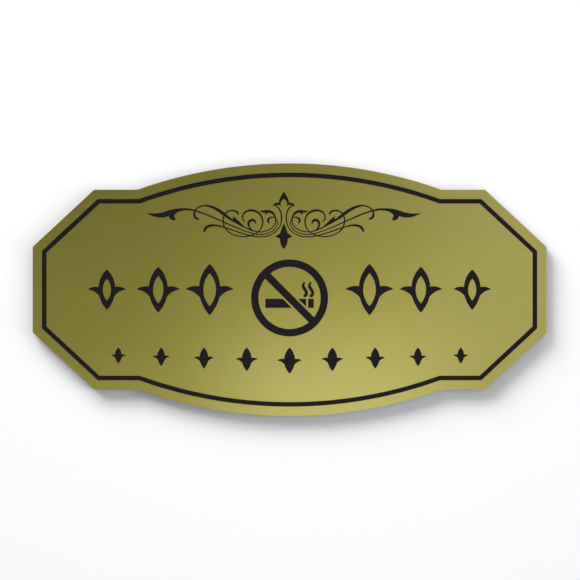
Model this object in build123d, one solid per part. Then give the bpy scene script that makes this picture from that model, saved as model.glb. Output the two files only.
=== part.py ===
from build123d import *
import math
import os

# Engraved no smoking sign, in millimetres. The face is drawn flat, X to the right and Y up, with
# Z standing for the distance from the wall, and every piece is turned upright as it is written:
# the plate then faces -Y, its height runs along +Z and the wall is the plane Y = 0.

# Plate outline: an arched top and bottom, shoulders, clipped corners and short upright sides.
plate_width = 180.0
plate_height = 88.5
shoulder_height = 70.0
side_height = 30.0
clip_run = 21.5
arch_width = 106.7

# Layers, from the wall outwards.
tape_thickness = 1.1
core_thickness = 3.0
cap_thickness = 0.2

# Groove that follows the outline.
border_inset = 3.25
border_width = 1.6

# Foam tape strips. The margin is from an outer strip to the plate's upright side.
tape_width = 19.0
tape_length = 50.0
tape_margin = 25.5

# Scroll ornament above the middle. Its axis stands a little left of the plate's.
scroll_axis = -2.0
scroll_foot = 14.3

# Row of leaf motifs below the middle, largest in the centre.
leaf_pairs = 4
leaf_pitch = 15.0
leaf_top = -20.25
leaf_height = 9.25
leaf_step = 0.9
# Half widths of a leaf's body and of its hooks, as shares of the leaf's height.
leaf_body = 0.205
leaf_reach = 0.47

# Prohibition symbol in the middle.
symbol_height = -2.9
ring_radius = 13.5
ring_width = 2.6
slash_angle = -45.0
slash_gap = 0.6
cigarette_length = 17.0
cigarette_width = 3.2
cigarette_drop = 1.9
ember_length = 2.0
ember_gap = 0.7
smoke_width = 1.1
smoke_gap = 1.0

# Open leaves on each side of the symbol, largest next to it.
panel_start = 28.0
panel_pitch = 18.0
panel_count = 3
panel_height = 18.1
panel_step = 1.9
panel_line = 1.5
# How far the lens stays from the leaf's two tips, in line widths.
lens_tip_gap = 2.2


def outline(inset):
    """Face of the plate's outline with every edge moved in by inset."""
    side_x = plate_width / 2 - inset
    shoulder_y = shoulder_height / 2 - inset
    clip_rise = (shoulder_height - side_height) / 2
    clip_level = (clip_rise * plate_width + clip_run * side_height) / 2
    clip_level = clip_level - inset * math.hypot(clip_run, clip_rise)
    side_y = (clip_level - clip_rise * side_x) / clip_run
    clip_x = (clip_level - clip_run * shoulder_y) / clip_rise
    arch_rise = (plate_height - shoulder_height) / 2
    arch_radius = (arch_width ** 2 / 4 + arch_rise ** 2) / (2 * arch_rise)
    arch_centre = plate_height / 2 - arch_radius
    crown_y = plate_height / 2 - inset
    arch_x = math.sqrt((arch_radius - inset) ** 2 - (shoulder_y - arch_centre) ** 2)
    right = Polyline(
        (arch_x, -shoulder_y),
        (clip_x, -shoulder_y),
        (side_x, -side_y),
        (side_x, side_y),
        (clip_x, shoulder_y),
        (arch_x, shoulder_y),
    )
    top = ThreePointArc((arch_x, shoulder_y), (0, crown_y), (-arch_x, shoulder_y))
    left = mirror(right, about=Plane.YZ)
    bottom = mirror(top, about=Plane.XZ)
    return make_face(right + top + left + bottom)


def bends(*points):
    """Chain of arcs, each through a start, a middle and an end where the next one starts."""
    return Curve() + [ThreePointArc(*points[i : i + 3]) for i in range(0, len(points) - 2, 2)]


def stroke(*points):
    """Face of one cutter stroke with rounded ends, through points of x, y and width.

    The centre line is one smooth curve. Each side has one arc between two points.
    """
    line = Spline(*[(x, y) for x, y, _ in points])
    places = [line.param_at_point(Vector(x, y)) for x, y, _ in points]
    widths = [width for _, _, width in points]
    for i in range(len(points) - 1, 0, -1):
        places.insert(i, (places[i - 1] + places[i]) / 2)
        widths.insert(i, (widths[i - 1] + widths[i]) / 2)
    left = []
    right = []
    for place, width in zip(places, widths):
        along = line.tangent_at(place)
        across = Vector(-along.Y, along.X) * (width / 2)
        left.append(line.position_at(place) + across)
        right.append(line.position_at(place) - across)
    start = rounded_end(right[0], left[0])
    end = rounded_end(left[-1], right[-1])
    return make_face(bends(*left) + end + bends(*reversed(right)) + start)


def rounded_end(first, last):
    """Half hexagon from one side of a stroke round its end to the other side."""
    across = (first - last) / 2
    forward = Vector(across.Y, -across.X) * math.cos(math.radians(30))
    middle = (first + last) / 2 + forward
    return Polyline(first, middle + across / 2, middle - across / 2, last)


def leaf(height):
    """Pointed leaf with a hook on each side, hanging down by height from its tip at the origin."""
    half = bends(
        (0, 0),
        (0.106 * height, -0.128 * height),
        (leaf_body * height, -0.435 * height),
        (0.335 * height, -0.432 * height),
        (leaf_reach * height, -0.495 * height),
        (0.320 * height, -0.542 * height),
        (0.190 * height, -0.650 * height),
        (0.120 * height, -0.830 * height),
        (0, -height),
    )
    return make_face(half + mirror(half, about=Plane.YZ))


def open_leaf(height):
    """Leaf cut as an outline, with a pointed lens of the face left standing inside it."""
    half_lens = leaf_body * height - panel_line
    lens_top = -panel_line * lens_tip_gap
    lens_foot = -height - lens_top
    edge = bends((0, lens_top), (half_lens, -height / 2), (0, lens_foot))
    return leaf(height) - make_face(edge + mirror(edge, about=Plane.YZ))


def crown_finial():
    """Right half of the pointed arch on top of the scroll, with its side leaf."""
    outside = bends((0, 20.1), (1.1, 18.3), (1.9, 16.15), (3.05, 16.0), (3.95, 14.9))
    under_leaf = bends((3.95, 14.9), (2.9, 15.2), (1.6, 15.4))
    foot = Polyline((1.6, 15.4), (1.35, 15.0), (1.1, 15.0))
    inside = bends((1.1, 15.0), (0.9, 16.6), (0, 17.5))
    return make_face(outside + under_leaf + foot + inside + Line((0, 17.5), (0, 20.1)))


def drop_finial():
    """Right half of the long drop at the foot of the scroll, with its side leaf."""
    shank = bends((0, 8.95), (0.6, 7.6), (1.4, 5.35))
    side_leaf = bends((1.4, 5.35), (2.25, 4.9), (3.05, 4.35), (2.25, 3.95), (1.35, 3.6))
    drop = bends((1.35, 3.6), (1.1, 1.7), (0, -0.15))
    return make_face(shank + side_leaf + drop + Line((0, -0.15), (0, 8.95)))


def wing():
    """Broad pointed end of the right-hand arm, with the thumb that curls back under it."""
    top_edge = bends((48.2, 12.6), (45.0, 12.4), (42.0, 12.9), (39.0, 13.85), (34.2, 14.18))
    root = Line((34.2, 14.18), (34.2, 13.42))
    thumb = bends(
        (34.2, 13.42),
        (36.6, 13.07),
        (38.05, 12.2),
        (38.35, 11.2),
        (37.85, 10.6),
        (38.0, 10.13),
        (38.6, 10.0),
        (39.65, 10.35),
        (40.3, 11.5),
    )
    under_edge = bends((40.3, 11.5), (43.4, 10.92), (46.5, 11.7), (47.4, 12.15), (48.2, 12.6))
    return make_face(top_edge + root + thumb + under_edge)


def blade():
    """Flame that branches up off the crest stroke."""
    upper_edge = bends((17.9, 11.55), (16.0, 9.95), (13.8, 7.85))
    lower_edge = bends((14.0, 7.65), (16.2, 9.0), (17.8, 10.1))
    return make_face(
        upper_edge + Line((13.8, 7.85), (14.0, 7.65)) + lower_edge + Line((17.8, 10.1), (17.9, 11.55))
    )


def barb():
    """Small barb under the inner hook."""
    return make_face(Polyline((6.6, 12.9), (6.35, 11.75), (5.4, 12.9), (6.6, 12.9)))


def scroll_half():
    """Right half of the scroll ornament, drawn from its axis outwards."""
    crest = stroke(
        (30.0, 10.45, 0.65),
        (31.2, 11.3, 0.85),
        (31.3, 12.9, 0.65),
        (30.4, 14.2, 0.5),
        (28.5, 15.05, 0.45),
        (27.0, 15.12, 0.65),
        (24.5, 14.35, 0.95),
        (22.0, 12.9, 1.15),
        (19.5, 11.0, 0.95),
        (16.2, 8.9, 0.5),
        (12.2, 6.85, 0.45),
        (8.5, 5.9, 0.4),
        (5.2, 6.7, 0.4),
        (3.4, 8.2, 0.4),
        (2.95, 10.6, 0.4),
    )
    middle_line = stroke(
        (36.5, 13.65, 0.7),
        (33.0, 13.78, 0.7),
        (30.5, 13.2, 0.55),
        (25.0, 11.1, 0.5),
        (20.0, 8.9, 0.45),
        (15.0, 6.75, 0.38),
        (11.0, 5.45, 0.38),
        (8.5, 5.03, 0.38),
        (5.5, 5.5, 0.38),
        (2.9, 7.3, 0.38),
        (2.25, 9.0, 0.38),
        (2.75, 10.4, 0.38),
    )
    outer_line = stroke(
        (2.9, 15.05, 0.45),
        (1.45, 13.7, 0.5),
        (0.82, 11.2, 0.5),
        (1.5, 7.7, 0.4),
        (4.05, 5.2, 0.4),
        (7.5, 4.2, 0.4),
        (12.0, 4.7, 0.4),
        (17.0, 6.2, 0.45),
        (22.0, 7.85, 0.5),
        (25.0, 8.25, 0.75),
        (27.0, 7.6, 0.95),
        (27.85, 6.2, 0.75),
    )
    loop = stroke(
        (16.0, 12.3, 0.7),
        (17.2, 13.3, 0.65),
        (18.7, 13.4, 0.55),
        (20.4, 12.5, 0.5),
        (21.25, 10.2, 0.5),
        (20.6, 7.3, 0.45),
        (18.2, 5.2, 0.42),
        (14.3, 4.3, 0.4),
        (10.6, 5.0, 0.4),
        (8.3, 6.7, 0.4),
        (7.4, 9.4, 0.5),
        (8.2, 11.95, 0.65),
        (10.3, 13.3, 0.8),
        (12.7, 13.3, 0.7),
        (14.3, 12.0, 0.5),
        (14.4, 10.6, 0.45),
        (13.7, 9.55, 0.4),
    )
    inner_hook = stroke(
        (2.88, 10.5, 0.5),
        (3.2, 11.6, 0.55),
        (4.0, 12.6, 0.85),
        (5.2, 13.1, 1.0),
        (6.8, 13.08, 0.9),
        (8.2, 13.25, 0.45),
    )
    small_hook = stroke((3.2, 10.95, 0.4), (4.6, 10.95, 0.55), (5.5, 10.2, 0.85), (5.1, 9.1, 0.5))
    curl = stroke(
        (9.9, 9.0, 0.5),
        (10.4, 9.9, 0.8),
        (11.3, 10.1, 0.95),
        (12.3, 9.2, 0.9),
        (12.2, 7.8, 0.6),
        (10.5, 6.3, 0.4),
    )
    return [
        crown_finial(),
        drop_finial(),
        crest,
        middle_line,
        outer_line,
        loop,
        inner_hook,
        small_hook,
        curl,
        barb(),
        blade(),
        wing(),
    ]


def scroll_cuts():
    """Every stroke of the scroll ornament, both halves, in its place on the plate."""
    half = scroll_half()
    other_half = [mirror(face, about=Plane.YZ) for face in half]
    return [Pos(scroll_axis, scroll_foot) * face for face in half + other_half]


def leaf_row_cuts():
    """The row of leaves below the middle."""
    cuts = []
    for place in range(-leaf_pairs, leaf_pairs + 1):
        height = leaf_height - leaf_step * abs(place)
        cuts.append(Pos(place * leaf_pitch, leaf_top) * leaf(height))
    return cuts


def panel_cuts():
    """The open leaves on each side of the symbol."""
    cuts = []
    for place in range(panel_count):
        height = panel_height - panel_step * place
        motif = open_leaf(height)
        for side in (-1, 1):
            cuts.append(Pos(side * (panel_start + place * panel_pitch), height / 2) * motif)
    return cuts


def symbol_cuts():
    """Ring, slash and cigarette of the prohibition symbol."""
    ring = Circle(ring_radius) - Circle(ring_radius - ring_width)
    reach = 2 * ring_radius
    slash = Rot(0, 0, slash_angle) * Rectangle(reach - ring_width, ring_width)
    slash_clear = Rot(0, 0, slash_angle) * Rectangle(reach, ring_width + 2 * slash_gap)
    tip_x = cigarette_length / 2
    ember_x = tip_x - ember_length / 2
    body_length = cigarette_length - ember_length - ember_gap
    body_x = body_length / 2 - tip_x
    body = Pos(body_x, -cigarette_drop) * Rectangle(body_length, cigarette_width)
    ember = Pos(ember_x, -cigarette_drop) * Rectangle(ember_length, cigarette_width)
    smoke_y = cigarette_width / 2 - cigarette_drop + smoke_gap
    wisps = []
    for shift in (-2 * smoke_width, 0):
        start_x = ember_x + shift
        wisps.append(
            stroke(
                (start_x, smoke_y, smoke_width),
                (start_x + 0.6, smoke_y + 1.3, smoke_width),
                (start_x - 0.4, smoke_y + 3.0, smoke_width),
                (start_x - 0.1, smoke_y + 4.6, smoke_width * 0.6),
            )
        )
    pieces = [ring + slash, body - slash_clear, ember] + wisps
    return [Pos(0, symbol_height) * piece for piece in pieces]


def engraving():
    """Everything that the cutter takes out of the face, as one sketch."""
    border = outline(border_inset) - outline(border_inset + border_width)
    return Sketch() + [border] + scroll_cuts() + leaf_row_cuts() + panel_cuts() + symbol_cuts()


def stand_up(piece):
    """Turn a piece drawn flat so that it stands against the wall."""
    return Plane.XZ * piece


def main():
    """Build the layers from the wall outwards and write one file for each piece."""
    os.makedirs("parts", exist_ok=True)
    plate = outline(0)
    cuts = engraving()
    core_back = tape_thickness
    core_front = core_back + core_thickness
    core = extrude(Pos(0, 0, core_back) * plate, core_thickness)
    cap = extrude(Pos(0, 0, core_front) * (plate - cuts), cap_thickness)
    export_step(stand_up(core), "parts/core_sheet.step")
    export_step(stand_up(cap), "parts/face_cap.step")
    tape_reach = plate_width / 2 - tape_margin - tape_width / 2
    for name, place in (("left", -1), ("centre", 0), ("right", 1)):
        strip = Pos(place * tape_reach, 0) * Rectangle(tape_width, tape_length)
        tape = extrude(strip, tape_thickness)
        export_step(stand_up(tape), f"parts/tape_{name}.step")


main()
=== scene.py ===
"""Engraved no smoking sign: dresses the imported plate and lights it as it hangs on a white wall."""

import logging
import math
from dataclasses import dataclass, field
from enum import Enum

import bpy
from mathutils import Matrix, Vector


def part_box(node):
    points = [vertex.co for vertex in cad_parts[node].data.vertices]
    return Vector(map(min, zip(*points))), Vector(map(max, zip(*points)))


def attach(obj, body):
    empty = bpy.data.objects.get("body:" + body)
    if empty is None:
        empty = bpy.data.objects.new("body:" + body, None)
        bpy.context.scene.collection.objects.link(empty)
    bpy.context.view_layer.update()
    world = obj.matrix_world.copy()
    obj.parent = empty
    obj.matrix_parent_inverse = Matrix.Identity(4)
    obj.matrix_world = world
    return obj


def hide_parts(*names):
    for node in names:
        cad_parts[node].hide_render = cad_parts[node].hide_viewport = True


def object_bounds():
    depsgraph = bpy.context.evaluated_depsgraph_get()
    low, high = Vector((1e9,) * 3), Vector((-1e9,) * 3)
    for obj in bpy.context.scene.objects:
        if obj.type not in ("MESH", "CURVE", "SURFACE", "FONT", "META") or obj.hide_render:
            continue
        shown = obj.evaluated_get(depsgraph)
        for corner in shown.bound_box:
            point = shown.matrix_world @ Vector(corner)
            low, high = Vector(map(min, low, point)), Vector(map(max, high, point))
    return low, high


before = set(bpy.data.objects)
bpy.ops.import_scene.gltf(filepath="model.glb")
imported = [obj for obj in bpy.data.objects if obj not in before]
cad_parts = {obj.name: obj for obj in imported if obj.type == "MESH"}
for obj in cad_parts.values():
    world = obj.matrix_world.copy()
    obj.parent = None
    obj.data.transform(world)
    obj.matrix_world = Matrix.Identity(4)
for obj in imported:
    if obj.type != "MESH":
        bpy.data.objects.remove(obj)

cad_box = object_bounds()
log = logging.getLogger("no_smoking_sign")

Colour = tuple[float, float, float]
Paint = tuple[float, float, float, float]
Triple = tuple[float, float, float]
SocketValue = object

MM = 0.001
BODY = "root"
DAYLIGHT: Colour = (0.87, 0.87, 1.0)
ORIGIN: Triple = (0.0, 0.0, 0.0)
FIRST_SEED = 3.0
SEED_STEP = 5.0

# The curve between a screen's levels and linear light.
SCREEN_LEVELS = 255
SCREEN_KNEE = 0.04045
SCREEN_SLOPE = 12.92
SCREEN_OFFSET = 0.055
SCREEN_POWER = 2.4


class TapePlace(Enum):
    """Where a foam tape strip sits behind the plate. The value is the name of its CAD node."""

    LEFT = "tape_left"
    CENTRE = "tape_centre"
    RIGHT = "tape_right"

    @property
    def seed(self) -> float:
        """Seed that gives each strip cells of its own."""
        return FIRST_SEED + SEED_STEP * list(TapePlace).index(self)


class NodeBench:
    """Places nodes in one node tree and joins them."""

    def __init__(self, tree: bpy.types.NodeTree) -> None:
        """Take a tree and clear it.

        Args:
            tree: the node tree to build in.
        """
        self.tree = tree
        self.tree.nodes.clear()

    def place(
        self, kind: str, sockets: dict[str | int, SocketValue] | None = None, **settings: SocketValue
    ) -> bpy.types.Node:
        """Add one node.

        Args:
            kind: the node's type name.
            sockets: what each input takes, by its name or its number. Another node's output is
                linked to it, and anything else is set on it.
            settings: the node's own settings, by name.

        Returns:
            The new node.
        """
        node = self.tree.nodes.new(kind)
        for name, value in settings.items():
            setattr(node, name, value)
        for key, value in (sockets or {}).items():
            socket = node.inputs[key]
            if isinstance(value, bpy.types.NodeSocket):
                self.tree.links.new(value, socket)
            else:
                socket.default_value = value
        return node

    def sum(self, operation: str, *values: SocketValue) -> bpy.types.NodeSocket:
        """Work out one number.

        Args:
            operation: the Math node's operation.
            values: its inputs, as outputs of other nodes or as numbers.

        Returns:
            The output that carries the result.
        """
        return self.place("ShaderNodeMath", dict(enumerate(values)), operation=operation).outputs[0]

    def vector(self, operation: str, *values: SocketValue) -> bpy.types.NodeSocket:
        """Work out one vector.

        Args:
            operation: the Vector Math node's operation.
            values: its inputs, as outputs of other nodes or as triples.

        Returns:
            The output that carries the result.
        """
        node = self.place("ShaderNodeVectorMath", dict(enumerate(values)), operation=operation)
        return node.outputs["Vector"]

    def scaled(self, vector: bpy.types.NodeSocket, factor: SocketValue) -> bpy.types.NodeSocket:
        """Scale one vector.

        Args:
            vector: the output that carries the vector.
            factor: the number to scale it by, or another node's output.

        Returns:
            The output that carries the result.
        """
        sockets = {0: vector, "Scale": factor}
        return self.place("ShaderNodeVectorMath", sockets, operation="SCALE").outputs["Vector"]

    def chosen(
        self, choice: SocketValue, first: SocketValue, second: SocketValue
    ) -> bpy.types.NodeSocket:
        """Choose between two numbers.

        Args:
            choice: 0 for the first and 1 for the second.
            first: a number or another node's output.
            second: a number or another node's output.

        Returns:
            The output that carries the chosen number.
        """
        return self.place("ShaderNodeMix", {"Factor": choice, 2: first, 3: second}).outputs[0]


def linear(red: int, green: int, blue: int) -> Paint:
    """Turn a colour as a screen shows it into the linear one that a shader takes.

    Args:
        red: from 0 to 255.
        green: from 0 to 255.
        blue: from 0 to 255.

    Returns:
        The linear red, green and blue, and full opacity.
    """
    levels = []
    for level in (red, green, blue):
        share = level / SCREEN_LEVELS
        if share <= SCREEN_KNEE:
            levels.append(share / SCREEN_SLOPE)
        else:
            levels.append(((share + SCREEN_OFFSET) / (1 + SCREEN_OFFSET)) ** SCREEN_POWER)
    return (*levels, 1.0)


class EffectGroups:
    """Shader node groups that several finishes share."""

    NOISE_ROUGHNESS = 0.6
    NOISE_LOW = 0.28
    NOISE_HIGH = 0.72
    MASK_MIDDLE = 0.5

    def __init__(self) -> None:
        """Build every group once."""
        self.grain = self._grain()
        self.tint = self._tint()

    @staticmethod
    def _tree(
        name: str, inputs: dict[str, str], outputs: dict[str, str]
    ) -> tuple[NodeBench, bpy.types.Node]:
        """Start a group.

        Args:
            name: the group's name.
            inputs: socket type of each named input.
            outputs: socket type of each named output.

        Returns:
            The bench to build on and the node that gives the group's inputs.
        """
        tree = bpy.data.node_groups.new(name, "ShaderNodeTree")
        for socket, kind in inputs.items():
            tree.interface.new_socket(socket, in_out="INPUT", socket_type=kind)
        for socket, kind in outputs.items():
            tree.interface.new_socket(socket, in_out="OUTPUT", socket_type=kind)
        bench = NodeBench(tree)
        return bench, bench.place("NodeGroupInput")

    def _grain(self) -> bpy.types.NodeTree:
        """Noise that can be drawn out along one way, as brushing and sawing do.

        Returns:
            A group with the inputs Coordinates, Stretch, Scale and Detail and the output Mask.
        """
        inputs = {
            "Coordinates": "NodeSocketVector",
            "Stretch": "NodeSocketVector",
            "Scale": "NodeSocketFloat",
            "Detail": "NodeSocketFloat",
        }
        bench, given = self._tree("drawn_grain", inputs, {"Mask": "NodeSocketFloat"})
        place = bench.vector("MULTIPLY", given.outputs["Coordinates"], given.outputs["Stretch"])
        noise = bench.place(
            "ShaderNodeTexNoise",
            {
                "Vector": place,
                "Scale": given.outputs["Scale"],
                "Detail": given.outputs["Detail"],
                "Roughness": self.NOISE_ROUGHNESS,
            },
        )
        spread = bench.place(
            "ShaderNodeMapRange",
            {"Value": noise.outputs[0], "From Min": self.NOISE_LOW, "From Max": self.NOISE_HIGH},
        )
        bench.place("NodeGroupOutput", {"Mask": spread.outputs["Result"]})
        return bench.tree

    def _tint(self) -> bpy.types.NodeTree:
        """Colour that turns lighter and darker by a mask.

        Returns:
            A group with the inputs Colour, Mask and Swing and the output Colour.
        """
        inputs = {
            "Colour": "NodeSocketColor",
            "Mask": "NodeSocketFloat",
            "Swing": "NodeSocketFloat",
        }
        bench, given = self._tree("tint", inputs, {"Colour": "NodeSocketColor"})
        centred = bench.sum("SUBTRACT", given.outputs["Mask"], self.MASK_MIDDLE)
        swing = bench.sum("MULTIPLY_ADD", centred, given.outputs["Swing"], 1.0)
        bench.place("NodeGroupOutput", {"Colour": bench.scaled(given.outputs["Colour"], swing)})
        return bench.tree


@dataclass(frozen=True)
class Finish:
    """What the finishes share: the name of the material and the effects it draws on."""

    name: str
    effects: EffectGroups

    def bench(self) -> tuple[NodeBench, bpy.types.NodeSocket]:
        """Start the material.

        Returns:
            The bench to build on and the object coordinates.
        """
        material = bpy.data.materials.new(self.name)
        material.use_nodes = True
        bench = NodeBench(material.node_tree)
        return bench, bench.place("ShaderNodeTexCoord").outputs["Object"]

    def grain(
        self, bench: NodeBench, coordinates: bpy.types.NodeSocket, stretch: Triple, detail: float = 2.0
    ) -> bpy.types.NodeSocket:
        """Lay one grain.

        Args:
            bench: the material's bench.
            coordinates: where the grain is read.
            stretch: marks to a metre along each axis.
            detail: how many finer marks lie on the coarse ones.

        Returns:
            The grain's mask.
        """
        sockets = {"Coordinates": coordinates, "Stretch": stretch, "Scale": 1.0, "Detail": detail}
        return bench.place("ShaderNodeGroup", sockets, node_tree=self.effects.grain).outputs["Mask"]

    def tinted(
        self, bench: NodeBench, colour: SocketValue, mask: bpy.types.NodeSocket, swing: float
    ) -> bpy.types.NodeSocket:
        """Vary a colour by a mask.

        Args:
            bench: the material's bench.
            colour: the colour to vary.
            mask: from 0 to 1 over the surface.
            swing: how far the brightness goes from one end of the mask to the other.

        Returns:
            The varied colour.
        """
        sockets = {"Colour": colour, "Mask": mask, "Swing": swing}
        return bench.place("ShaderNodeGroup", sockets, node_tree=self.effects.tint).outputs["Colour"]

    @staticmethod
    def surface(bench: NodeBench, shader: bpy.types.Node) -> bpy.types.Material:
        """Join a shader to the material's output.

        Args:
            bench: the material's bench.
            shader: the last shader.

        Returns:
            The finished material.
        """
        bench.place("ShaderNodeOutputMaterial", {"Surface": shader.outputs[0]})
        return next(m for m in bpy.data.materials if m.node_tree == bench.tree)


@dataclass(frozen=True)
class BrushedGold(Finish):
    """Gold foil under a thin clear skin, brushed from side to side."""

    colour: Paint = linear(162, 154, 67)
    roughness: float = 0.33
    roughness_swing: float = 0.03
    long_lines: Triple = (22.0, 0.0, 1500.0)
    long_detail: float = 3.0
    fine_lines: Triple = (90.0, 0.0, 9000.0)
    fine_detail: float = 2.0
    fine_share: float = 0.5
    line_swing: float = 0.035
    line_depth: float = 0.004 * MM
    line_strength: float = 0.6
    clouds: Triple = (30.0, 0.0, 45.0)
    cloud_detail: float = 1.0
    cloud_swing: float = 0.03
    skin_roughness: float = 0.2

    def material(self) -> bpy.types.Material:
        """Build the material.

        Returns:
            The material, ready for a mesh.
        """
        bench, place = self.bench()
        long_lines = self.grain(bench, place, self.long_lines, self.long_detail)
        fine_lines = self.grain(bench, place, self.fine_lines, self.fine_detail)
        clouds = self.grain(bench, place, self.clouds, self.cloud_detail)
        long_part = bench.sum("MULTIPLY", long_lines, 1.0 - self.fine_share)
        lines = bench.sum("MULTIPLY_ADD", fine_lines, self.fine_share, long_part)
        colour = self.tinted(bench, self.colour, lines, self.line_swing)
        colour = self.tinted(bench, colour, clouds, self.cloud_swing)
        rough = bench.place(
            "ShaderNodeMapRange",
            {
                "Value": lines,
                "To Min": self.roughness - self.roughness_swing,
                "To Max": self.roughness + self.roughness_swing,
            },
        )
        bump = bench.place(
            "ShaderNodeBump",
            {"Height": lines, "Strength": self.line_strength, "Distance": self.line_depth},
        )
        shader = bench.place(
            "ShaderNodeBsdfPrincipled",
            {
                "Base Color": colour,
                "Metallic": 1.0,
                "Roughness": rough.outputs["Result"],
                "Coat Weight": 1.0,
                "Coat Roughness": self.skin_roughness,
                "Normal": bump.outputs["Normal"],
            },
        )
        return self.surface(bench, shader)


@dataclass(frozen=True)
class BlackCore(Finish):
    """Solid black acrylic: rolled on the back, sawn on the edges and cut by a rotary tool in front."""

    colour: Paint = linear(25, 20, 22)
    sheet_marks: Triple = (1400.0, 1400.0, 1400.0)
    sheet_detail: float = 4.0
    sheet_depth: float = 0.006 * MM
    saw_marks: Triple = (4200.0, 60.0, 4200.0)
    saw_detail: float = 3.0
    saw_depth: float = 0.02 * MM
    tool_marks: Triple = (5200.0, 0.0, 5200.0)
    tool_detail: float = 2.0
    least_facing: float = 0.5
    mark_swing: float = 0.25
    smoothest: float = 0.5
    roughest: float = 0.66
    gloss: float = 0.08

    def material(self) -> bpy.types.Material:
        """Build the material.

        Returns:
            The material, ready for a mesh.
        """
        bench, place = self.bench()
        normal = bench.place("ShaderNodeTexCoord").outputs["Normal"]
        facing = bench.place("ShaderNodeSeparateXYZ", {"Vector": normal}).outputs["Y"]
        edge = bench.sum("LESS_THAN", bench.sum("ABSOLUTE", facing), self.least_facing)
        front = bench.sum("LESS_THAN", facing, -self.least_facing)
        sheet = self.grain(bench, place, self.sheet_marks, self.sheet_detail)
        saw = self.grain(bench, place, self.saw_marks, self.saw_detail)
        tool = self.grain(bench, place, self.tool_marks, self.tool_detail)
        marks = bench.chosen(edge, bench.chosen(front, sheet, tool), saw)
        colour = self.tinted(bench, self.colour, marks, self.mark_swing)
        depth = bench.chosen(edge, self.sheet_depth, self.saw_depth)
        height = bench.sum("MULTIPLY", marks, depth)
        bump = bench.place("ShaderNodeBump", {"Height": height, "Strength": 1.0, "Distance": 1.0})
        rough = bench.place(
            "ShaderNodeMapRange", {"Value": marks, "To Min": self.smoothest, "To Max": self.roughest}
        )
        shader = bench.place(
            "ShaderNodeBsdfPrincipled",
            {
                "Base Color": colour,
                "Roughness": rough.outputs["Result"],
                "Specular IOR Level": self.gloss,
                "Normal": bump.outputs["Normal"],
            },
        )
        return self.surface(bench, shader)


@dataclass(frozen=True)
class TapeFoam(Finish):
    """White closed-cell foam, as the sides of a cut strip show it."""

    colour: Paint = linear(226, 224, 218)
    cells: Triple = (2600.0, 2600.0, 2600.0)
    cell_detail: float = 3.0
    cell_swing: float = 0.16
    cell_strength: float = 0.5
    cell_depth: float = 0.03 * MM
    roughness: float = 0.8
    gloss: float = 0.3

    def material(self) -> bpy.types.Material:
        """Build the material.

        Returns:
            The material, ready for a mesh.
        """
        bench, place = self.bench()
        cells = self.grain(bench, place, self.cells, self.cell_detail)
        bump = bench.place(
            "ShaderNodeBump",
            {"Height": cells, "Strength": self.cell_strength, "Distance": self.cell_depth},
        )
        shader = bench.place(
            "ShaderNodeBsdfPrincipled",
            {
                "Base Color": self.tinted(bench, self.colour, cells, self.cell_swing),
                "Roughness": self.roughness,
                "Specular IOR Level": self.gloss,
                "Normal": bump.outputs["Normal"],
            },
        )
        return self.surface(bench, shader)


@dataclass(frozen=True)
class TapeAdhesive(Finish):
    """Clear tacky layer over the foam, with the foam's cells pressing through it."""

    colour: Paint = linear(214, 210, 198)
    cells: Triple = (1500.0, 1500.0, 1500.0)
    cell_detail: float = 3.0
    cell_swing: float = 0.1
    cell_height: float = 0.25
    sags: Triple = (120.0, 120.0, 120.0)
    sag_detail: float = 1.0
    sag_swing: float = 0.05
    sag_strength: float = 0.6
    sag_depth: float = 0.06 * MM
    smoothest: float = 0.3
    roughest: float = 0.42

    def material(self) -> bpy.types.Material:
        """Build the material.

        Returns:
            The material, ready for a mesh.
        """
        bench, place = self.bench()
        cells = self.grain(bench, place, self.cells, self.cell_detail)
        sags = self.grain(bench, place, self.sags, self.sag_detail)
        colour = self.tinted(bench, self.colour, cells, self.cell_swing)
        colour = self.tinted(bench, colour, sags, self.sag_swing)
        height = bench.sum("MULTIPLY_ADD", cells, self.cell_height, sags)
        bump = bench.place(
            "ShaderNodeBump",
            {"Height": height, "Strength": self.sag_strength, "Distance": self.sag_depth},
        )
        rough = bench.place(
            "ShaderNodeMapRange", {"Value": sags, "To Min": self.smoothest, "To Max": self.roughest}
        )
        shader = bench.place(
            "ShaderNodeBsdfPrincipled",
            {
                "Base Color": colour,
                "Roughness": rough.outputs["Result"],
                "Normal": bump.outputs["Normal"],
            },
        )
        return self.surface(bench, shader)


@dataclass(frozen=True)
class StudioWhite(Finish):
    """White paint of the wall and the floor, lifted to plain white where the camera sees it lit."""

    paint: Paint = (0.98, 0.98, 0.98, 1.0)
    stipple: Triple = (500.0, 500.0, 500.0)
    stipple_swing: float = 0.01
    lift: float = 0.02
    mirrored: bool = False

    def material(self) -> bpy.types.Material:
        """Build the material. It lights nothing, and it shows only from its front.

        The camera sees it and, where it is mirrored, so do metal and glass.

        Returns:
            The material, ready for a mesh.
        """
        bench, place = self.bench()
        stipple = self.grain(bench, place, self.stipple)
        colour = self.tinted(bench, self.paint, stipple, self.stipple_swing)
        path = bench.place("ShaderNodeLightPath").outputs
        seen = path["Is Camera Ray"]
        if self.mirrored:
            seen = bench.sum("MAXIMUM", seen, path["Is Glossy Ray"])
            seen = bench.sum("MAXIMUM", seen, path["Is Transmission Ray"])
        paint = bench.place("ShaderNodeBsdfDiffuse", {"Color": colour})
        glow = bench.place("ShaderNodeEmission", {"Strength": bench.sum("MULTIPLY", seen, self.lift)})
        lifted = bench.place("ShaderNodeAddShader", {0: paint.outputs[0], 1: glow.outputs[0]})
        behind = bench.place("ShaderNodeNewGeometry").outputs["Backfacing"]
        shown = bench.sum("MULTIPLY", seen, bench.sum("SUBTRACT", 1.0, behind))
        clear = bench.place("ShaderNodeBsdfTransparent")
        shaders = {0: shown, 1: clear.outputs[0], 2: lifted.outputs[0]}
        return self.surface(bench, bench.place("ShaderNodeMixShader", shaders))


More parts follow.
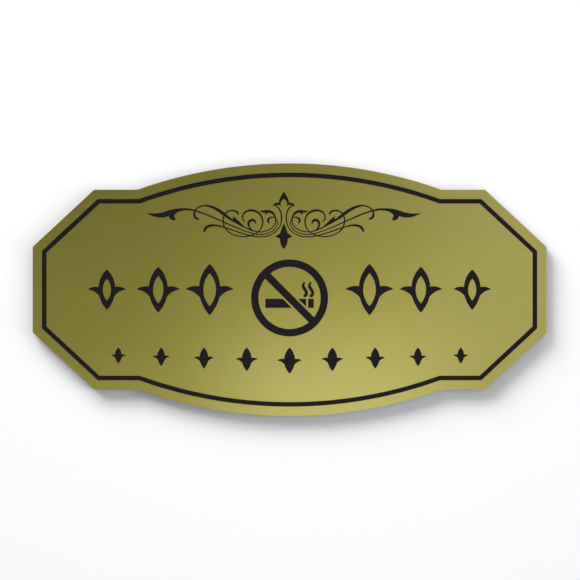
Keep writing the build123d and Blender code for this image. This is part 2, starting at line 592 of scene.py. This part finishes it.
@dataclass
class EngravedPlate:
    """The two-ply plate: its black core and the gold cap that the engraving is cut through."""

    effects: EffectGroups
    core: str = "core_sheet"
    cap: str = "face_cap"

    def dress(self) -> list[bpy.types.Object]:
        """Give both layers their finish.

        Returns:
            The two CAD nodes, which keep their shape and place.
        """
        finishes = {
            self.core: BlackCore("black_core", self.effects),
            self.cap: BrushedGold("brushed_gold", self.effects),
        }
        for name, finish in finishes.items():
            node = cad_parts[name]
            node.data.materials.clear()
            node.data.materials.append(finish.material())
        return [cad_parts[name] for name in finishes]


@dataclass
class FoamTapes:
    """The three strips of double-sided foam tape behind the plate."""

    effects: EffectGroups
    corner_radius: float = 0.5 * MM
    corner_points: int = 5
    waist: float = 0.10 * MM
    cell_size: float = 0.42 * MM
    cell_depth: float = 0.07 * MM
    pit_floor: float = 0.1
    pit_brim: float = 0.55
    step: float = 0.13 * MM
    rows: int = 11
    seam: float = 0.003 * MM
    tree: bpy.types.NodeTree | None = field(default=None, init=False)

    def build(self) -> list[bpy.types.Object]:
        """Build the strips, each in place of its CAD node.

        Returns:
            The strips.
        """
        foam = TapeFoam("tape_foam", self.effects).material()
        adhesive = TapeAdhesive("tape_adhesive", self.effects).material()
        self.tree = self._strip_tree()
        return [self._strip(place, foam, adhesive) for place in TapePlace]

    def _strip(
        self, place: TapePlace, foam: bpy.types.Material, adhesive: bpy.types.Material
    ) -> bpy.types.Object:
        """Make one strip as large as its CAD node and where that is.

        Args:
            place: which strip it is.
            foam: finish of its sides.
            adhesive: finish of its two faces.

        Returns:
            The strip as a plain mesh.
        """
        low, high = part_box(place.value)
        perimeter = 2 * (high[0] - low[0] + high[2] - low[2])
        name = f"{place.value}_strip"
        piece = bpy.data.objects.new(name, bpy.data.meshes.new(name))
        bpy.context.scene.collection.objects.link(piece)
        values = {
            "Middle": ((low[0] + high[0]) / 2, high[1], (low[2] + high[2]) / 2),
            "Width": high[0] - low[0],
            "Length": high[2] - low[2],
            "Thickness": high[1] - low[1],
            "Corner Radius": self.corner_radius,
            "Waist": self.waist,
            "Cell Size": self.cell_size,
            "Cell Depth": self.cell_depth,
            "Steps": round(perimeter / self.step),
            "Rows": self.rows,
            "Seed": place.seed,
            "Foam": foam,
            "Adhesive": adhesive,
        }
        modifier = piece.modifiers.new("strip", "NODES")
        modifier.node_group = self.tree
        for item in self.tree.interface.items_tree:
            if item.in_out == "INPUT" and item.name in values:
                modifier[item.identifier] = values[item.name]
        shown = piece.evaluated_get(bpy.context.evaluated_depsgraph_get())
        mesh = bpy.data.meshes.new_from_object(shown)
        piece.modifiers.remove(modifier)
        piece.data = mesh
        mesh.name = piece.name
        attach(piece, BODY)
        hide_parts(place.value)
        return piece

    def _strip_tree(self) -> bpy.types.NodeTree:
        """Build the tree that makes a strip.

        The side wall is a grid bent round the strip's rounded rectangle. It draws in at mid
        thickness, as squeezed foam does, and has a pit for each cell that the knife opened. Two
        flat faces close it.

        Returns:
            The geometry node tree, with an input for each size.
        """
        tree = bpy.data.node_groups.new("foam_tape_strip", "GeometryNodeTree")
        inputs = {
            "Middle": "NodeSocketVector",
            "Width": "NodeSocketFloat",
            "Length": "NodeSocketFloat",
            "Thickness": "NodeSocketFloat",
            "Corner Radius": "NodeSocketFloat",
            "Waist": "NodeSocketFloat",
            "Cell Size": "NodeSocketFloat",
            "Cell Depth": "NodeSocketFloat",
            "Steps": "NodeSocketInt",
            "Rows": "NodeSocketInt",
            "Seed": "NodeSocketFloat",
            "Foam": "NodeSocketMaterial",
            "Adhesive": "NodeSocketMaterial",
        }
        for name, kind in inputs.items():
            tree.interface.new_socket(name, in_out="INPUT", socket_type=kind)
        tree.interface.new_socket("Geometry", in_out="OUTPUT", socket_type="NodeSocketGeometry")
        bench = NodeBench(tree)
        given = bench.place("NodeGroupInput").outputs

        sheet = bench.place(
            "GeometryNodeCurvePrimitiveQuadrilateral",
            {"Width": given["Width"], "Height": given["Length"]},
        )
        rim = bench.place(
            "GeometryNodeFilletCurve",
            {
                "Curve": sheet.outputs[0],
                "Radius": given["Corner Radius"],
                "Count": self.corner_points,
            },
            mode="POLY",
        )
        wall = self._side_wall(bench, given, rim.outputs[0])
        corners = bench.place(
            "GeometryNodeResampleCurve",
            {"Curve": rim.outputs[0], "Count": bench.sum("SUBTRACT", given["Steps"], 1.0)},
            mode="COUNT",
        )
        face = bench.place("GeometryNodeFillCurve", {"Curve": corners.outputs[0]}, mode="NGONS")
        near_wall = bench.place("GeometryNodeFlipFaces", {"Mesh": face.outputs[0]})
        rise = bench.place("ShaderNodeCombineXYZ", {"Z": given["Thickness"]})
        near_plate = bench.place(
            "GeometryNodeTransform", {"Geometry": face.outputs[0], "Translation": rise.outputs[0]}
        )
        faces = bench.place("GeometryNodeJoinGeometry")
        for part in (near_plate, near_wall):
            tree.links.new(part.outputs[0], faces.inputs[0])
        faces = bench.place(
            "GeometryNodeSetMaterial", {"Geometry": faces.outputs[0], "Material": given["Adhesive"]}
        )
        foam = bench.place("GeometryNodeSetMaterial", {"Geometry": wall, "Material": given["Foam"]})
        whole = bench.place("GeometryNodeJoinGeometry")
        for part in (faces, foam):
            tree.links.new(part.outputs[0], whole.inputs[0])
        closed = bench.place(
            "GeometryNodeMergeByDistance", {"Geometry": whole.outputs[0], "Distance": self.seam}
        )
        upright = bench.place(
            "GeometryNodeTransform",
            {
                "Geometry": closed.outputs[0],
                "Translation": given["Middle"],
                "Rotation": (math.pi / 2, 0.0, 0.0),
            },
        )
        real = bench.place("GeometryNodeRealizeInstances", {"Geometry": upright.outputs[0]})
        bench.place("NodeGroupOutput", {"Geometry": real.outputs[0]})
        return tree

    def _side_wall(
        self, bench: NodeBench, given: bpy.types.NodeOutputs, rim: bpy.types.NodeSocket
    ) -> bpy.types.NodeSocket:
        """Bend a grid round the strip's rim.

        Args:
            bench: the tree's bench.
            given: the tree's inputs.
            rim: the closed curve round the strip.

        Returns:
            The side wall, from 0 to the strip's thickness along Z.
        """
        grid = bench.place(
            "GeometryNodeMeshGrid",
            {"Size X": 1.0, "Size Y": 1.0, "Vertices X": given["Steps"], "Vertices Y": given["Rows"]},
        )
        position = bench.place("GeometryNodeInputPosition").outputs[0]
        place = bench.place("ShaderNodeSeparateXYZ", {"Vector": position})
        along = bench.sum("ADD", place.outputs["X"], 0.5)
        height = bench.sum("ADD", place.outputs["Y"], 0.5)
        sample = bench.place(
            "GeometryNodeSampleCurve",
            {"Curves": rim, "Factor": along},
            mode="FACTOR",
            use_all_curves=True,
        )
        outward = bench.vector("CROSS_PRODUCT", sample.outputs["Tangent"], (0.0, 0.0, 1.0))
        from_middle = bench.sum("MULTIPLY", place.outputs["Y"], 2.0)
        middle = bench.sum("SUBTRACT", 1.0, bench.sum("MULTIPLY", from_middle, from_middle))
        rise = bench.sum("MULTIPLY", height, given["Thickness"])
        lift = bench.place("ShaderNodeCombineXYZ", {"Z": rise})
        base = bench.vector("ADD", sample.outputs["Position"], lift.outputs[0])
        cells = bench.place(
            "ShaderNodeTexVoronoi",
            {
                "Vector": base,
                "W": given["Seed"],
                "Scale": bench.sum("DIVIDE", 1.0, given["Cell Size"]),
            },
            voronoi_dimensions="4D",
            feature="F1",
        )
        pit = bench.place(
            "ShaderNodeMapRange",
            {
                "Value": cells.outputs["Distance"],
                "From Min": self.pit_floor,
                "From Max": self.pit_brim,
                "To Min": 1.0,
                "To Max": 0.0,
            },
            interpolation_type="SMOOTHSTEP",
        )
        inset = bench.sum("MULTIPLY", pit.outputs["Result"], given["Cell Depth"])
        inset = bench.sum("ADD", inset, given["Waist"])
        inset = bench.sum("MULTIPLY", inset, middle)
        shift = bench.scaled(outward, bench.sum("MULTIPLY", inset, -1.0))
        moved = bench.place(
            "GeometryNodeSetPosition",
            {"Geometry": grid.outputs["Mesh"], "Position": bench.vector("ADD", base, shift)},
        )
        smooth = bench.place(
            "GeometryNodeSetShadeSmooth", {"Geometry": moved.outputs[0], "Shade Smooth": True}
        )
        return smooth.outputs[0]


@dataclass
class Lamp:
    """One square soft lamp."""

    name: str
    place: Triple
    aim: Triple
    size: float
    power: float
    colour: Colour = (1.0, 1.0, 1.0)

    def hang(self) -> bpy.types.Object:
        """Hang the lamp and turn it to what it lights.

        Returns:
            The lamp.
        """
        light = bpy.data.lights.new(self.name, "AREA")
        light.shape = "SQUARE"
        light.size = self.size
        light.energy = self.power
        light.color = self.colour
        lamp = bpy.data.objects.new(self.name, light)
        bpy.context.scene.collection.objects.link(lamp)
        lamp.location = self.place
        lamp.rotation_mode = "QUATERNION"
        lamp.rotation_quaternion = (Vector(self.aim) - Vector(self.place)).to_track_quat("-Z", "Y")
        return lamp


@dataclass
class Studio:
    """White wall and floor, soft lamps, and the camera straight in front.

    plate_middle is where the photograph shows the plate's middle, in pixels, and pixel is how much
    of the plate one of them spans. The world lights matt surfaces as brightly as ambient says.
    Shiny ones mirror it white from the sides and as dark as room says from straight in front.
    room_edge and room_heart are where that change starts and ends, as the share of a direction
    that points away from the wall.
    """

    effects: EffectGroups
    photo_side: float = 580.0
    plate_middle: tuple[float, float] = (289.57, 289.65)
    pixel: float = 0.350365 * MM
    lens: float = 300.0
    sensor: float = 36.0
    sight: float = 10.0
    wall_gap: float = 0.05 * MM
    wall_side: float = 1.6
    floor_side: float = 6.0
    floor_drop: float = 0.30
    floor_paint: Paint = (0.35, 0.35, 0.35, 1.0)
    floor_lift: float = 0.82
    lamps: tuple[Lamp, ...] = (
        Lamp("overhead_left", (-1.1, -1.0, 1.45), ORIGIN, 1.4, 53.5),
        Lamp("overhead_right", (0.448, -1.0, 1.673), ORIGIN, 1.0, 7.0),
        Lamp("side_right", (1.706, -1.0, -0.3), ORIGIN, 1.2, 10.0),
        Lamp("right_sweep", (0.16, -0.35, 0.05), (0.144, 0.0, 0.045), 0.2, 0.122, DAYLIGHT),
        Lamp("left_sweep", (-0.02, -0.35, -0.14), (-0.018, 0.0, -0.126), 0.2, 0.04),
        Lamp("low_sweep", (0.018, -0.22, -0.06), (0.016, 0.0, -0.054), 0.08, 0.029, DAYLIGHT),
        Lamp("middle_sweep", (0.022, -0.25, 0.016), (0.02, 0.0, 0.0145), 0.1, 0.0045),
        Lamp("rear", (0.5, 0.9, 0.6), ORIGIN, 1.0, 16.0),
    )
    ambient: float = 0.17
    room: float = 0.0
    room_edge: float = 0.1
    room_heart: float = 0.75

    def build(self) -> None:
        """Set the stage, the lamps, the world and the camera."""
        self._walls()
        for lamp in self.lamps:
            lamp.hang()
        self._world()
        self._camera()
        bpy.context.scene.view_settings.view_transform = "Standard"

    def _walls(self) -> None:
        """Stand the wall just behind the tape and lay the floor under the sign."""
        far = self.wall_side / 2
        wall = [(-far, 0.0, -far), (far, 0.0, -far), (far, 0.0, far), (-far, 0.0, far)]
        far = self.floor_side / 2
        floor = [(-far, -far, 0.0), (far, -far, 0.0), (far, far, 0.0), (-far, far, 0.0)]
        white = StudioWhite("white_wall", self.effects).material()
        self._sheet("white_wall", wall, (0.0, self.wall_gap, 0.0), white)
        pale = StudioWhite(
            "pale_floor", self.effects, paint=self.floor_paint, lift=self.floor_lift, mirrored=True
        ).material()
        self._sheet("pale_floor", floor, (0.0, 0.0, -self.floor_drop), pale)

    @staticmethod
    def _sheet(name: str, corners: list[Triple], place: Triple, paint: bpy.types.Material) -> None:
        """Add one flat sheet of the stage.

        Args:
            name: the sheet's name.
            corners: its corners, turning left as seen from its front.
            place: how far it stands from the origin.
            paint: its finish.
        """
        mesh = bpy.data.meshes.new(name)
        points = [Vector(corner) + Vector(place) for corner in corners]
        mesh.from_pydata(points, [], [range(len(points))])
        mesh.materials.append(paint)
        sheet = bpy.data.objects.new(name, mesh)
        bpy.context.scene.collection.objects.link(sheet)

    def _world(self) -> None:
        """Surround the scene with soft white, with a darker room behind the camera to mirror."""
        world = bpy.data.worlds.new("studio")
        bpy.context.scene.world = world
        world.use_nodes = True
        world.cycles.sampling_method = "NONE"
        bench = NodeBench(world.node_tree)
        path = bench.place("ShaderNodeLightPath").outputs
        way = bench.place("ShaderNodeTexCoord").outputs["Generated"]
        depth = bench.place("ShaderNodeSeparateXYZ", {"Vector": way}).outputs["Y"]
        room = bench.place(
            "ShaderNodeMapRange",
            {
                "Value": depth,
                "From Min": -self.room_edge,
                "From Max": -self.room_heart,
                "To Min": 1.0,
                "To Max": self.room,
            },
            interpolation_type="SMOOTHSTEP",
        )
        mirrored = bench.sum("MULTIPLY", path["Is Glossy Ray"], room.outputs["Result"])
        plain = bench.sum("MAXIMUM", path["Is Camera Ray"], path["Is Transmission Ray"])
        matte = bench.sum("MULTIPLY", bench.sum("SUBTRACT", 1.0, path["Is Glossy Ray"]), self.ambient)
        strength = bench.sum("MAXIMUM", bench.sum("MAXIMUM", mirrored, plain), matte)
        sky = bench.place("ShaderNodeBackground", {"Color": (1.0, 1.0, 1.0, 1.0), "Strength": strength})
        bench.place("ShaderNodeOutputWorld", {"Surface": sky.outputs[0]})

    def _camera(self) -> None:
        """Stand the camera where the photograph was taken, far off and square to the plate."""
        low, high = cad_box
        distance = self.photo_side * self.pixel * self.lens / self.sensor
        middle = self.photo_side / 2
        camera = bpy.data.cameras.new("camera")
        camera.lens = self.lens
        camera.sensor_width = self.sensor
        camera.clip_end = self.sight
        stand = bpy.data.objects.new("camera", camera)
        bpy.context.scene.collection.objects.link(stand)
        stand.location = (
            (low[0] + high[0]) / 2 + (middle - self.plate_middle[0]) * self.pixel,
            low[1] - distance,
            (low[2] + high[2]) / 2 - (middle - self.plate_middle[1]) * self.pixel,
        )
        stand.rotation_euler = (math.pi / 2, 0.0, 0.0)
        bpy.context.scene.camera = stand


def report(piece: bpy.types.Object) -> None:
    """Log one piece of the sign.

    Args:
        piece: the piece.
    """
    log.info("%s: %d faces", piece.name, len(piece.data.polygons))


def main() -> None:
    """Build and dress the sign, then light it."""
    logging.basicConfig(level=logging.INFO, format="%(message)s")
    effects = EffectGroups()
    plate = EngravedPlate(effects)
    tapes = FoamTapes(effects)
    for piece in plate.dress() + tapes.build():
        report(piece)
    Studio(effects).build()


if __name__ == "__main__":
    main()
